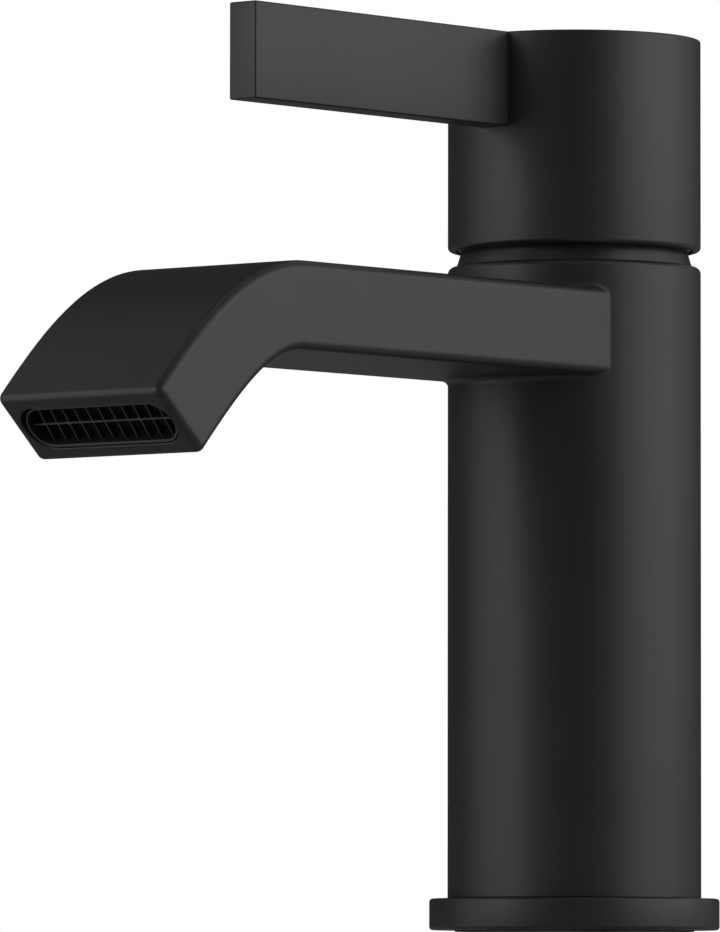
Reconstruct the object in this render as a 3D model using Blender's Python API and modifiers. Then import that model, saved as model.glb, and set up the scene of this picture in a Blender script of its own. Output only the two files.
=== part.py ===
"""Single-lever bathroom basin mixer, standing on its deck seat at z = 0, spout along -Y."""

import math

import bmesh
import bpy
from mathutils import Matrix, Vector

MM = 0.001

# Body, flange and the gap under the handle, in millimetres
BODY_R = 22.5
BODY_TOP = 118.0
BODY_EDGE = 1.1
FOOT_R = 20.5
SEAT_R = 18.5
SEAT_STEP = 1.6
FLANGE_R = 25.75
FLANGE_TOP = 5.9
FLANGE_BOTTOM = 0.3
FLANGE_EDGE = 0.6
GASKET_R = 21.3
GASKET_THICK = 1.3
BORE_R = 18.6
BORE_FLOOR = 81.0
FIT = 0.3

# Spout
SPOUT_HALF_W = 18.4
SPOUT_TOP = 112.9
SPOUT_BOTTOM = 97.65
SPOUT_BEND_TOP = 94.1
SPOUT_BEND_BOTTOM = 94.8
SPOUT_PULL_TOP = (15.9, 15.9)
SPOUT_PULL_BOTTOM = (8.1, 16.0)
OUTLET_TOP = (-133.05, 88.9)
OUTLET_LENGTH = 15.45
OUTLET_TILT = 42.2
SPOUT_DROP = 47.3
SPOUT_EDGE = 1.5
SPOUT_WALL = 3.3
CHANNEL_HALF_W = 13.5
CHANNEL_START = -15.0
CHANNEL_EDGE = 1.2

# Outlet pocket and insert, half sizes; the grille leans back at its top
POCKET = (16.75, 4.75)
POCKET_RISE = 0.1
POCKET_DEPTH = 11.0
INSERT = (16.4, 4.1)
GRILLE_DEPTH = 0.85
GRILLE_BACK = 3.0
GRILLE_DROP = 0.1
GRILLE_TILT = 7.5
RIB_DEPTH = 0.85
GRILLE_WALL = 0.75
GRILLE_CELLS = 12
RIB = 0.5

# Handle
CAP_BOTTOM = 120.85
CAP_TOP = 158.45
CAP_WALL_R = 19.4
CAP_RIM_R = 21.5
CAP_RIM_HEIGHT = 4.1
CAP_TAPER_HEIGHT = 9.1
CAP_CEILING = 154.8
CAP_LOW_EDGE = 0.8
CAP_TOP_EDGE = 0.35
BLADE_HALF_T = 3.0
BLADE_BOTTOM = 141.65
BLADE_TIP = 90.45
HUB_R = 7.2
HUB_BOTTOM = 128.8
SOCKET_TOP = 143.8
BOSS_HALF = 4.5
SCREW_Z = 136.0
SCREW_BORE_R = 2.4
PLUG_BORE_R = 3.2

# Cartridge
PIVOT_Z = 110.0
INLET = (4.9, -6.6, 2.2)
OUTLET = (0.0, 5.5, 3.2)
CARTRIDGE_R = 16.6
DISC_R = 11.8
ROTOR_R = 13.5
PIN_R = 1.45
PIN_BORE_R = 1.8
STEM_HALF = 4.0
FINGER_REACH = 8.2

# Fixing kit and inlets
STUD_Y = 10.0
STUD_R = 4.0
STUD_BOTTOM = -60.0
PORT = (7.5, -4.0, 4.5)
PORT_DEPTH = 16.0
STUD_TOP = 11.0
CLAMP_TOP = -25.0
CLAMP_R = 23.0
HOSE_SLOT_HALF = 12.5
HOSE_SLOT_Y = -9.0

SHARP_ANGLE = 30.0
SIDE_TURN = Matrix(((0, 0, 1), (1, 0, 0), (0, 1, 0)))
FINE = 72
MEDIUM = 48
SMALL = 32
TINY = 20


def clear_scene():
    for obj in list(bpy.data.objects):
        bpy.data.objects.remove(obj)


def collection(name, hidden=False):
    made = bpy.data.collections.new(name)
    bpy.context.scene.collection.children.link(made)
    made.hide_render = hidden
    return made


def material(name, colour, roughness, metallic):
    made = bpy.data.materials.new(name)
    made.use_nodes = True
    shader = made.node_tree.nodes["Principled BSDF"]
    shader.inputs["Base Color"].default_value = (*colour, 1.0)
    shader.inputs["Roughness"].default_value = roughness
    shader.inputs["Metallic"].default_value = metallic
    made.diffuse_color = (*colour, 1.0)
    return made


def black_coat():
    return material("matte_black_coat", (0.014, 0.014, 0.015), 0.48, 0.0)


def collar_coat():
    return material("collar_black_coat", (0.016, 0.016, 0.017), 0.42, 0.0)


def flange_coat():
    return material("flange_black_coat", (0.014, 0.014, 0.015), 0.46, 0.0)


def handle_coat():
    return material("handle_black_coat", (0.014, 0.014, 0.015), 0.48, 0.0)


def brass():
    return material("turned_brass", (0.62, 0.45, 0.2), 0.35, 1.0)


def steel():
    return material("zinc_plated_steel", (0.6, 0.6, 0.58), 0.38, 1.0)


def stainless():
    return material("stainless_pin_steel", (0.66, 0.66, 0.66), 0.28, 1.0)


def ceramic():
    return material("alumina_ceramic", (0.86, 0.85, 0.82), 0.22, 0.0)


def white_plastic():
    return material("white_acetal", (0.8, 0.8, 0.78), 0.45, 0.0)


def grey_plastic():
    return material("grey_nylon", (0.2, 0.21, 0.22), 0.5, 0.0)


def grille_plastic():
    return material("dark_grille_plastic", (0.03, 0.033, 0.038), 0.38, 0.0)


def insert_plastic():
    return material("black_insert_plastic", (0.02, 0.02, 0.022), 0.5, 0.0)


def red_plastic():
    return material("red_limit_ring", (0.5, 0.05, 0.04), 0.4, 0.0)


def rubber():
    return material("black_rubber", (0.02, 0.02, 0.02), 0.8, 0.0)


def mesh_of(bm, name):
    """Closes the bmesh into a mesh that is shaded smooth, with hard edges where it turns."""
    mesh = bpy.data.meshes.new(name)
    bmesh.ops.recalc_face_normals(bm, faces=bm.faces)
    bm.to_mesh(mesh)
    bm.free()
    mesh.shade_smooth()
    mesh.set_sharp_from_angle(angle=math.radians(SHARP_ANGLE))
    return mesh


def add(name, mesh, target, mat=None):
    obj = bpy.data.objects.new(name, mesh)
    target.objects.link(obj)
    if mat:
        mesh.materials.append(mat)
    if target.hide_render:
        obj.hide_render = True
        obj.display_type = "WIRE"
    return obj


def arc(cx, cy, r, start, end, steps):
    """Points of a circular arc, angles in degrees."""
    step = (end - start) / steps
    angles = [math.radians(start + step * i) for i in range(steps + 1)]
    return [(cx + r * math.cos(a), cy + r * math.sin(a)) for a in angles]


def lathe(name, profile, target, mat=None, closed=False, steps=MEDIUM, centre=(0, 0), z0=0.0):
    """Turns (radius, height) points round a vertical axis; the origin is on it at height z0."""
    mesh = bpy.data.meshes.new(name)
    points = [(r * MM, 0, (z - z0) * MM) for r, z in profile]
    edges = [(i, i + 1) for i in range(len(points) - 1)]
    if closed:
        edges.append((len(points) - 1, 0))
    mesh.from_pydata(points, edges, [])
    obj = add(name, mesh, target, mat)
    obj.location = (centre[0] * MM, centre[1] * MM, z0 * MM)
    screw = obj.modifiers.new("turn", "SCREW")
    screw.axis = "Z"
    screw.angle = 2 * math.pi
    screw.steps = steps
    screw.render_steps = steps
    screw.use_merge_vertices = True
    screw.merge_threshold = 0.00001
    screw.use_smooth_shade = True
    return obj


def disc(name, r, z_low, z_high, target, mat=None, steps=MEDIUM, centre=(0, 0)):
    profile = [(0, z_high), (r, z_high), (r, z_low), (0, z_low)]
    return lathe(name, profile, target, mat, steps=steps, centre=centre)


def ring(name, r_in, r_out, z_low, z_high, target, mat=None, steps=MEDIUM, centre=(0, 0)):
    profile = [(r_in, z_high), (r_out, z_high), (r_out, z_low), (r_in, z_low)]
    return lathe(name, profile, target, mat, True, steps, centre)


def o_ring(name, major, minor, z, target, mat, centre=(0, 0), steps=MEDIUM):
    section = arc(major, z, minor, 90, -270, 10)[:-1]
    return lathe(name, section, target, mat, True, steps, centre)


def box(name, low, high, target, mat=None):
    bm = bmesh.new()
    bmesh.ops.create_cube(bm, size=1.0)
    size = [(h - lo) * MM for lo, h in zip(low, high)]
    middle = [(h + lo) / 2 * MM for lo, h in zip(low, high)]
    bmesh.ops.scale(bm, vec=size, verts=bm.verts)
    bmesh.ops.translate(bm, vec=middle, verts=bm.verts)
    return add(name, mesh_of(bm, name), target, mat)


def rod(name, start, end, r, target, mat=None, steps=SMALL):
    """A straight round bar between two points."""
    a = Vector(start) * MM
    b = Vector(end) * MM
    bm = bmesh.new()
    bmesh.ops.create_cone(
        bm, cap_ends=True, segments=steps, radius1=r * MM, radius2=r * MM, depth=(b - a).length
    )
    obj = add(name, mesh_of(bm, name), target, mat)
    obj.rotation_euler = (b - a).to_track_quat("Z", "Y").to_euler()
    obj.location = (a + b) / 2
    return obj


def flat_curve(name, outlines, thickness):
    """A filled 2D curve: the first outline is its edge, the others are holes in it."""
    curve = bpy.data.curves.new(name, "CURVE")
    curve.dimensions = "2D"
    curve.fill_mode = "BOTH"
    curve.extrude = thickness / 2 * MM
    for outline in outlines:
        spline = curve.splines.new("POLY")
        spline.points.add(len(outline) - 1)
        for point, (x, y) in zip(spline.points, outline):
            point.co = (x * MM, y * MM, 0, 1)
        spline.use_cyclic_u = True
    return curve


def plate(name, outlines, low, high, target, mat=None):
    """A flat piece between two heights, from its outline and the outlines of its holes."""
    maker = bpy.data.objects.new(name + "_outline", flat_curve(name, outlines, high - low))
    target.objects.link(maker)
    bpy.context.view_layer.update()
    graph = bpy.context.evaluated_depsgraph_get()
    made = bpy.data.meshes.new_from_object(maker.evaluated_get(graph))
    made.transform(Matrix.Translation((0, 0, (low + high) / 2 * MM)))
    bpy.data.objects.remove(maker)
    bm = bmesh.new()
    bm.from_mesh(made)
    bpy.data.meshes.remove(made)
    bmesh.ops.remove_doubles(bm, verts=bm.verts, dist=0.000001)
    return add(name, mesh_of(bm, name), target, mat)


def circle(cx, cy, r, steps=SMALL):
    return arc(cx, cy, r, 0, 360, steps)[:-1]


def rounded(half_w, half_h, r, cx=0.0, cy=0.0, steps=6):
    """A rectangle with round corners."""
    points = []
    corners = ((1, 1, 0), (-1, 1, 90), (-1, -1, 180), (1, -1, 270))
    for sx, sy, start in corners:
        x = cx + sx * (half_w - r)
        y = cy + sy * (half_h - r)
        points += arc(x, y, r, start, start + 90, steps)
    return points


def boolean(obj, other, operation="DIFFERENCE"):
    made = obj.modifiers.new(operation.lower(), "BOOLEAN")
    made.operation = operation
    made.solver = "EXACT"
    made.object = other
    return made


def cut(obj, *cutters):
    for cutter in cutters:
        boolean(obj, cutter)


def bevel(obj, width, segments=2, angle=40):
    made = obj.modifiers.new("edges", "BEVEL")
    made.width = width * MM
    made.segments = segments
    made.limit_method = "ANGLE"
    made.angle_limit = math.radians(angle)
    return made


def bezier(p0, p1, p2, p3, steps):
    points = []
    for i in range(steps + 1):
        t = i / steps
        s = 1 - t
        weights = (s**3, 3 * s * s * t, 3 * s * t * t, t**3)
        y = sum(w * p[0] for w, p in zip(weights, (p0, p1, p2, p3)))
        z = sum(w * p[1] for w, p in zip(weights, (p0, p1, p2, p3)))
        points.append((y, z))
    return points


def outlet_axes():
    """Face direction (down the outlet face) and the outward normal, in the Y-Z plane."""
    a = math.radians(OUTLET_TILT)
    along = Vector((0, math.cos(a), -math.sin(a)))
    outward = Vector((0, -math.sin(a), -math.cos(a)))
    return along, outward


def spout_curve(start, end, pulls, steps=12):
    """One side of the spout: level, then bending down to the outlet."""
    a = math.radians(SPOUT_DROP)
    first = (start[0] - pulls[0], start[1])
    last = (end[0] + pulls[1] * math.cos(a), end[1] + pulls[1] * math.sin(a))
    return bezier(start, first, last, end, steps)


def shifted(points, distance):
    """The curve moved sideways along its own normals."""
    out = []
    for i, (y, z) in enumerate(points):
        a = points[max(i - 1, 0)]
        b = points[min(i + 1, len(points) - 1)]
        dy = b[0] - a[0]
        dz = b[1] - a[1]
        size = math.hypot(dy, dz)
        out.append((y - dz / size * distance, z + dy / size * distance))
    return out


def spout_sides():
    along, _ = outlet_axes()
    top_end = OUTLET_TOP
    bottom_end = (
        top_end[0] + along.y * OUTLET_LENGTH,
        top_end[1] + along.z * OUTLET_LENGTH,
    )
    top = spout_curve((-SPOUT_BEND_TOP, SPOUT_TOP), top_end, SPOUT_PULL_TOP)
    bottom = spout_curve((-SPOUT_BEND_BOTTOM, SPOUT_BOTTOM), bottom_end, SPOUT_PULL_BOTTOM)
    return top, bottom


def side_piece(name, outline, half_w, target, edge, segments, angle=40):
    """A side view in the Y-Z plane given width along X, with rounded edges."""
    piece = plate(name, [outline], -half_w, half_w, target)
    bm = bmesh.new()
    bm.from_mesh(piece.data)
    bmesh.ops.dissolve_limit(bm, angle_limit=0.0005, verts=bm.verts, edges=bm.edges)
    bmesh.ops.rotate(bm, matrix=SIDE_TURN, verts=bm.verts)
    bm.to_mesh(piece.data)
    bm.free()
    bevel(piece, edge, segments, angle)
    return piece


def outlet_matrix(depth=0.0):
    """Places a piece drawn flat, facing +Z, in the outlet face."""
    along, outward = outlet_axes()
    middle = Vector((0, *OUTLET_TOP)) + along * (OUTLET_LENGTH / 2)
    spot = (middle + outward * depth) * MM
    turn = Matrix((Vector((1, 0, 0)), -along, outward)).transposed().to_4x4()
    return Matrix.Translation(spot) @ turn


def stadium(half, inset=0.0, steps=7):
    w = half[0] - inset
    h = half[1] - inset
    return rounded(w, h, h - 0.05, steps=steps)


def spout_blank(cutters):
    top, bottom = spout_sides()
    root = -8.0
    outline = [(root, SPOUT_TOP)] + top + bottom[::-1] + [(root, SPOUT_BOTTOM)]
    return side_piece("spout_blank", outline, SPOUT_HALF_W, cutters, SPOUT_EDGE, 4)


def spout_channel(cutters):
    top, bottom = spout_sides()
    roof = [(CHANNEL_START, SPOUT_TOP - SPOUT_WALL)] + shifted(top, SPOUT_WALL)[:-3]
    floor = [(CHANNEL_START, SPOUT_BOTTOM + SPOUT_WALL)] + shifted(bottom, -SPOUT_WALL)[:-3]
    return side_piece("spout_channel", roof + floor[::-1], CHANNEL_HALF_W, cutters, CHANNEL_EDGE, 2, 60)


def outlet_pocket(cutters):
    pocket = plate("outlet_pocket", [stadium(POCKET)], -POCKET_DEPTH, 5.0, cutters)
    pocket.matrix_world = outlet_matrix() @ Matrix.Translation((0, POCKET_RISE * MM, 0))
    return pocket


def body_outline():
    shoulder = FLANGE_TOP + FIT
    outline = [(0, BODY_TOP)]
    outline += arc(BODY_R - BODY_EDGE, BODY_TOP - BODY_EDGE, BODY_EDGE, 90, 0, 4)
    outline += [(BODY_R, shoulder), (FOOT_R, shoulder)]
    outline += [(FOOT_R, SEAT_STEP), (SEAT_R, SEAT_STEP), (SEAT_R, 0), (0, 0)]
    return outline


def hose_ways(cutters):
    """The threaded sockets for the two hoses and the drilled ways up to the cartridge."""
    ways = []
    for side, word in ((-1, "hot"), (1, "cold")):
        x = side * PORT[0]
        spot = (x, PORT[1])
        socket = disc("port_" + word, PORT[2], -2, PORT_DEPTH, cutters, steps=SMALL, centre=spot)
        start = (x * 0.93, PORT[1] - 0.2, PORT_DEPTH - 3)
        end = (side * INLET[0], INLET[1], BORE_FLOOR + 1)
        ways += [socket, rod("feed_" + word, start, end, INLET[2], cutters, steps=TINY)]
    return ways


def make_body(parts, cutters):
    body = lathe("mixer_body", body_outline(), parts, black_coat(), steps=FINE)
    boolean(body, spout_blank(cutters), "UNION")
    mouth = BODY_TOP + 2
    bore = [(0, mouth), (BORE_R, mouth), (BORE_R, BORE_FLOOR), (0, BORE_FLOOR)]
    cut(body, lathe("cartridge_bore", bore, cutters, steps=FINE))
    cut(body, spout_channel(cutters), outlet_pocket(cutters))
    cut(body, *hose_ways(cutters))
    socket_r = STUD_R + 0.35
    cut(body, disc("stud_hole", socket_r, -2, STUD_TOP + 1, cutters, steps=SMALL, centre=(0, STUD_Y)))


def make_base(parts):
    recess = GASKET_R + FIT
    low = FLANGE_BOTTOM + FLANGE_EDGE
    high = FLANGE_TOP - FLANGE_EDGE
    profile = [(FOOT_R + FIT, FLANGE_TOP)]
    profile += arc(FLANGE_R - FLANGE_EDGE, high, FLANGE_EDGE, 90, 0, 3)
    profile += arc(FLANGE_R - FLANGE_EDGE, low, FLANGE_EDGE, 0, -90, 3)
    profile += [(recess, FLANGE_BOTTOM), (recess, SEAT_STEP), (FOOT_R + FIT, SEAT_STEP)]
    lathe("base_flange", profile, parts, flange_coat(), True, FINE)
    ring("base_gasket", SEAT_R + FIT, GASKET_R, 0.0, GASKET_THICK, parts, rubber())


def make_collar(parts):
    """The cover ring over the cartridge nut: a cone, and a skirt that centres it in the bore."""
    foot = BODY_TOP + FIT
    top = 123.6
    hole_r = 11.5
    skirt_r = BORE_R - 0.45
    inner_r = 15.9
    skirt_low = 115.2
    profile = [(hole_r, top), (18.0, top), (18.4, top - 0.3), (19.95, 121.0), (20.95, foot + 0.2)]
    profile += [(20.95, foot), (skirt_r, foot), (skirt_r, skirt_low), (inner_r, skirt_low)]
    profile += [(inner_r, top - 1.8), (hole_r, top - 1.8)]
    lathe("cover_collar", profile, parts, collar_coat(), True, FINE)


def make_nut(parts, cutters):
    """The slotted ring nut that holds the cartridge down."""
    inner = 15.6
    outer = BORE_R - 0.4
    low = 107.5
    top = 114.5
    profile = [(inner, top), (outer - 0.4, top), (outer, top - 0.4), (outer, low), (inner, low)]
    nut = lathe("cartridge_nut", profile, parts, brass(), True, MEDIUM)
    for word, x, y in (("across", 22, 2), ("along", 2, 22)):
        cut(nut, box("nut_notch_" + word, (-x, -y, top - 1.9), (x, y, top + 1.5), cutters))


def make_housing(parts):
    """The cartridge's shell: a neck, a grooved flange under the nut, and a skirt round the discs."""
    hole_r = ROTOR_R + 0.4
    neck_r = 15.3
    flange_r = BORE_R - 0.7
    groove_low = 104.2
    groove_top = 105.9
    flange_top = 107.2
    flange_low = 103.0
    top = 117.0
    low = 90.3
    roof = 103.3
    profile = [(hole_r, top), (neck_r - 0.4, top), (neck_r, top - 0.4), (neck_r, flange_top)]
    profile += [(flange_r, flange_top), (flange_r, groove_top), (CARTRIDGE_R, groove_top)]
    profile += [(CARTRIDGE_R, groove_low), (flange_r, groove_low), (flange_r, flange_low)]
    profile += [(CARTRIDGE_R, flange_low - 1.0), (CARTRIDGE_R, low), (neck_r, low), (neck_r, roof)]
    profile += [(hole_r, roof)]
    lathe("cartridge_housing", profile, parts, grey_plastic(), True, MEDIUM)
    o_ring("housing_seal", 17.6, 0.65, (groove_low + groove_top) / 2, parts, rubber())


def make_cartridge_base(parts, cutters):
    base = disc("cartridge_base", CARTRIDGE_R, 84.6, 90.0, parts, white_plastic())
    spots = {"hot": (-INLET[0], INLET[1]), "cold": (INLET[0], INLET[1])}
    for word, spot in spots.items():
        spigot = disc("spigot_" + word, 4.0, 82.6, 85.5, cutters, steps=SMALL, centre=spot)
        boolean(base, spigot, "UNION")
    boolean(base, disc("foot", 2.2, 81.3, 85.5, cutters, steps=SMALL, centre=(0, 12)), "UNION")
    for word, spot in spots.items():
        cut(base, disc("way_" + word, INLET[2], 80, 92, cutters, steps=TINY, centre=spot))
        o_ring("base_seal_" + word, 3.1, 0.5, 81.8, parts, rubber(), spot, SMALL)
    cut(base, disc("way_out", OUTLET[2], 80, 92, cutters, steps=TINY, centre=OUTLET[:2]))


def make_discs(parts, cutters):
    ways = [(-INLET[0], INLET[1], INLET[2]), INLET, OUTLET]
    holes = [circle(x, y, r, TINY) for x, y, r in ways]
    wide = [circle(x, y, r + 0.4, TINY) for x, y, r in ways]
    plate("disc_seal", [circle(0, 0, 11.5, MEDIUM)] + wide, 90.3, 91.2, parts, rubber())
    plate("fixed_disc", [circle(0, 0, ROTOR_R, MEDIUM)] + holes, 91.5, 94.9, parts, ceramic())
    mover = disc("moving_disc", DISC_R, 95.2, 98.4, parts, ceramic())
    cut(mover, plate("mixing_hollow", [rounded(4.4, 5.8, 1.8, 0, 2.8)], 94.0, 96.8, cutters))
    carrier = disc("disc_carrier", DISC_R, 98.7, 103.2, parts, white_plastic())
    for side, word in ((-1, "left"), (1, "right")):
        low, high = sorted((side * 9.5, side * 14))
        cut(carrier, box("carrier_flat_" + word, (low, -14, 97), (high, 14, 105), cutters))
    cut(carrier, box("finger_slot", (-2.5, -2.2, 99.7), (2.5, 2.2, 105), cutters))


def make_rotor(parts, cutters):
    top = 117.6
    low = 103.6
    profile = [(0, top), (ROTOR_R - 0.4, top), (ROTOR_R, top - 0.4), (ROTOR_R, low), (0, low)]
    rotor = lathe("cartridge_rotor", profile, parts, grey_plastic(), z0=PIVOT_Z)
    for side, word in ((-1, "left"), (1, "right")):
        near, far = sorted((side * 9.9, side * 12.2))
        rail = box("rail_" + word, (near, -5.6, 99.2), (far, 5.6, 104.5), cutters)
        boolean(rotor, rail, "UNION")
    cut(rotor, box("stem_slot", (-4.4, -4.9, 100), (4.4, 7.4, 120), cutters))
    cut(rotor, rod("pin_bore", (-20, 0, PIVOT_Z), (20, 0, PIVOT_Z), PIN_BORE_R, cutters, steps=TINY))


def make_limit_ring(parts, cutters):
    """The toothed ring that stops the handle short of full hot."""
    teeth = 10
    pitch = 2 * math.pi / teeth
    rim = 13.0
    limit = ring("limit_ring", 9.6, rim, 117.9, 119.9, parts, red_plastic())
    for i in range(teeth):
        a = pitch * (i + 0.5)
        spot = ((rim + 0.1) * math.cos(a), (rim + 0.1) * math.sin(a))
        cut(limit, disc("limit_notch_%d" % i, 0.9, 117, 121, cutters, steps=10, centre=spot))


def make_stem(parts, cutters):
    low = (-STEM_HALF, -STEM_HALF, PIVOT_Z - 1)
    stem = box("lever_stem", low, (STEM_HALF, STEM_HALF, SOCKET_TOP - 0.8), parts, brass())
    bevel(stem, 0.6, 1)
    tip = PIVOT_Z - FINGER_REACH
    finger_r = 1.7
    pieces = (
        rod("stem_boss", (-STEM_HALF, 0, PIVOT_Z), (STEM_HALF, 0, PIVOT_Z), 4.2, cutters, steps=28),
        box("stem_finger", (-2.1, -finger_r, tip), (2.1, finger_r, PIVOT_Z), cutters),
        rod("stem_tip", (-2.1, 0, tip), (2.1, 0, tip), finger_r, cutters, steps=TINY),
    )
    for piece in pieces:
        boolean(stem, piece, "UNION")
    cut(stem, rod("stem_bore", (-20, 0, PIVOT_Z), (20, 0, PIVOT_Z), PIN_BORE_R, cutters, steps=TINY))
    rod("pivot_pin", (-12.4, 0, PIVOT_Z), (12.4, 0, PIVOT_Z), PIN_R, parts, stainless(), 24)


def cap_outline():
    """Half section of the cap: flat top, straight wall, rounded rim, hollow that widens downwards."""
    points = [(0, CAP_TOP)]
    points += arc(BODY_R - CAP_TOP_EDGE, CAP_TOP - CAP_TOP_EDGE, CAP_TOP_EDGE, 90, 0, 2)
    points += arc(BODY_R - CAP_LOW_EDGE, CAP_BOTTOM + CAP_LOW_EDGE, CAP_LOW_EDGE, 0, -90, 4)
    points += [(CAP_RIM_R, CAP_BOTTOM), (CAP_RIM_R, CAP_BOTTOM + CAP_RIM_HEIGHT)]
    points += [(CAP_WALL_R, CAP_BOTTOM + CAP_TAPER_HEIGHT), (CAP_WALL_R, CAP_CEILING), (0, CAP_CEILING)]
    return points


def handle_additions(cutters):
    """The blade, the hub over the stem and the boss round the set screw."""
    root = -BODY_R + 1.5
    blade = box(
        "blade_blank", (-BLADE_HALF_T, -BLADE_TIP, BLADE_BOTTOM), (BLADE_HALF_T, root, CAP_TOP), cutters
    )
    bevel(blade, CAP_TOP_EDGE, 2)
    hub = disc("handle_hub", HUB_R, HUB_BOTTOM, CAP_CEILING + 1, cutters, steps=SMALL)
    low = (-BOSS_HALF, 5.0, SCREW_Z - BOSS_HALF)
    boss = box("screw_boss", low, (BOSS_HALF, CAP_WALL_R + 1, SCREW_Z + BOSS_HALF), cutters)
    return blade, hub, boss


def make_handle(parts, cutters):
    handle = lathe("handle", cap_outline(), parts, handle_coat(), steps=FINE, z0=PIVOT_Z)
    for piece in handle_additions(cutters):
        boolean(handle, piece, "UNION")
    s = STEM_HALF + 0.4
    behind = (0, 30, SCREW_Z)
    cut(
        handle,
        box("stem_socket", (-s, -s, HUB_BOTTOM - 2), (s, s, SOCKET_TOP), cutters),
        rod("screw_thread", (0, 2, SCREW_Z), behind, SCREW_BORE_R, cutters, steps=24),
        rod("screw_access", (0, 14, SCREW_Z), behind, PLUG_BORE_R, cutters, steps=24),
    )


def make_screw(parts, cutters):
    r = SCREW_BORE_R - 0.35
    screw = rod("handle_set_screw", (0, 4.7, SCREW_Z), (0, 13.2, SCREW_Z), r, parts, stainless(), 24)
    bevel(screw, 0.3, 1)
    cut(screw, rod("screw_key", (0, 10.5, SCREW_Z), (0, 20, SCREW_Z), 1.3, cutters, steps=6))
    r = PLUG_BORE_R - 0.35
    plug = rod("screw_plug", (0, 19.0, SCREW_Z), (0, 22.2, SCREW_Z), r, parts, insert_plastic(), 24)
    bevel(plug, 0.3, 1)


def grille_ribs(low, high, cutters):
    """One long rib down the middle of the slot and the cross ribs between its cells."""
    inner = INSERT[0] - GRILLE_WALL
    reach = INSERT[0] - GRILLE_WALL / 2
    half = RIB / 2
    ribs = [box("grille_mid_rib", (-reach, -half, low + 0.1), (reach, half, high), cutters)]
    for i in range(1, GRILLE_CELLS):
        x = inner * (2 * i / GRILLE_CELLS - 1)
        past_straight = max(abs(x) - (INSERT[0] - INSERT[1]), 0.0)
        y = math.sqrt((INSERT[1] - GRILLE_WALL / 2) ** 2 - past_straight**2)
        near = (x - half, -y, low + 0.2)
        ribs.append(box("grille_rib_%d" % i, near, (x + half, y, high - 0.05), cutters))
    return ribs


def grille_matrix():
    """The outlet's placing, with the grille's lean and drop."""
    drop = Matrix.Translation((0, -GRILLE_DROP * MM, 0))
    return outlet_matrix() @ drop @ Matrix.Rotation(math.radians(-GRILLE_TILT), 4, "X")


def make_grille(parts, cutters):
    rims = [stadium(INSERT), stadium(INSERT, GRILLE_WALL)]
    grille = plate("outlet_grille", rims, -GRILLE_BACK, -GRILLE_DEPTH, parts, grille_plastic())
    grille.matrix_world = grille_matrix()
    for rib in grille_ribs(-GRILLE_BACK, -GRILLE_DEPTH - RIB_DEPTH, cutters):
        rib.matrix_world = grille_matrix()
        boolean(grille, rib, "UNION")


def make_insert(parts):
    """The flow straightener behind the grille: a frame, a drilled plate and a seal."""
    holes = [circle(3.0 * i, 0, 1.0, 12) for i in range(-4, 5)]
    frame = [stadium(INSERT), stadium(INSERT, 1.2)]
    seal = [stadium(INSERT, 0.2), stadium(INSERT, 1.4)]
    pieces = (
        plate("outlet_insert", frame, -9.0, -3.9, parts, insert_plastic()),
        plate("flow_plate", [stadium(INSERT, 1.6)] + holes, -6.6, -5.6, parts, white_plastic()),
        plate("outlet_seal", seal, -10.7, -9.3, parts, rubber()),
    )
    for piece in pieces:
        piece.matrix_world = outlet_matrix()


def horseshoe(r, steps=28):
    """A round washer open towards -Y, so that it passes the hoses."""
    meet = math.degrees(math.asin(HOSE_SLOT_HALF / r))
    outer = arc(0, 0, r, -90 + meet, 270 - meet, steps)
    return outer + arc(0, HOSE_SLOT_Y, HOSE_SLOT_HALF, 180, 0, 16)


def make_stud(parts, cutters):
    chamfer = 0.7
    low = STUD_BOTTOM
    profile = [(0, STUD_TOP), (STUD_R - chamfer, STUD_TOP), (STUD_R, STUD_TOP - chamfer)]
    profile += [(STUD_R, low + chamfer), (STUD_R - chamfer, low), (0, low)]
    stud = lathe("fixing_stud", profile, parts, steel(), steps=SMALL, centre=(0, STUD_Y))
    cut(stud, box("stud_slot", (-6, STUD_Y - 0.6, low - 2), (6, STUD_Y + 0.6, low + 1.8), cutters))


def make_clamp(parts):
    """Rubber pad, horseshoe plate and hexagon nut on the stud, under the deck."""
    hole = circle(0, STUD_Y, STUD_R + 0.4)
    top = CLAMP_TOP
    plate("clamp_washer", [horseshoe(CLAMP_R), hole], top - 3.0, top, parts, rubber())
    top -= 3.0 + FIT
    plate("clamp_plate", [horseshoe(CLAMP_R - 0.5), hole], top - 2.0, top, parts, steel())
    top -= 2.0 + FIT
    hexagon = circle(0, STUD_Y, 7.5, 6)
    plate("clamp_nut", [hexagon, circle(0, STUD_Y, STUD_R + 0.35)], top - 6.5, top, parts, brass())


def pivot(name, spot, parts):
    empty = bpy.data.objects.new(name, None)
    empty.location = Vector(spot) * MM
    parts.objects.link(empty)
    return empty


def hang(names, empty):
    bpy.context.view_layer.update()
    for name in names:
        obj = bpy.data.objects[name]
        obj.parent = empty
        obj.matrix_parent_inverse = empty.matrix_world.inverted()


def make_joints(parts):
    swivel = pivot("swivel_axis", (0, 0, PIVOT_Z), parts)
    lift = pivot("lift_axis", (0, 0, PIVOT_Z), parts)
    slide = pivot("disc_slide_axis", (0, 0, 98.5), parts)
    clamp = pivot("clamp_axis", (0, STUD_Y, CLAMP_TOP), parts)
    hang(["cartridge_rotor", "limit_ring", "pivot_pin", "lift_axis", "disc_slide_axis"], swivel)
    hang(["handle", "lever_stem", "handle_set_screw", "screw_plug"], lift)
    hang(["moving_disc", "disc_carrier"], slide)
    hang(["clamp_washer", "clamp_plate", "clamp_nut"], clamp)


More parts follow.
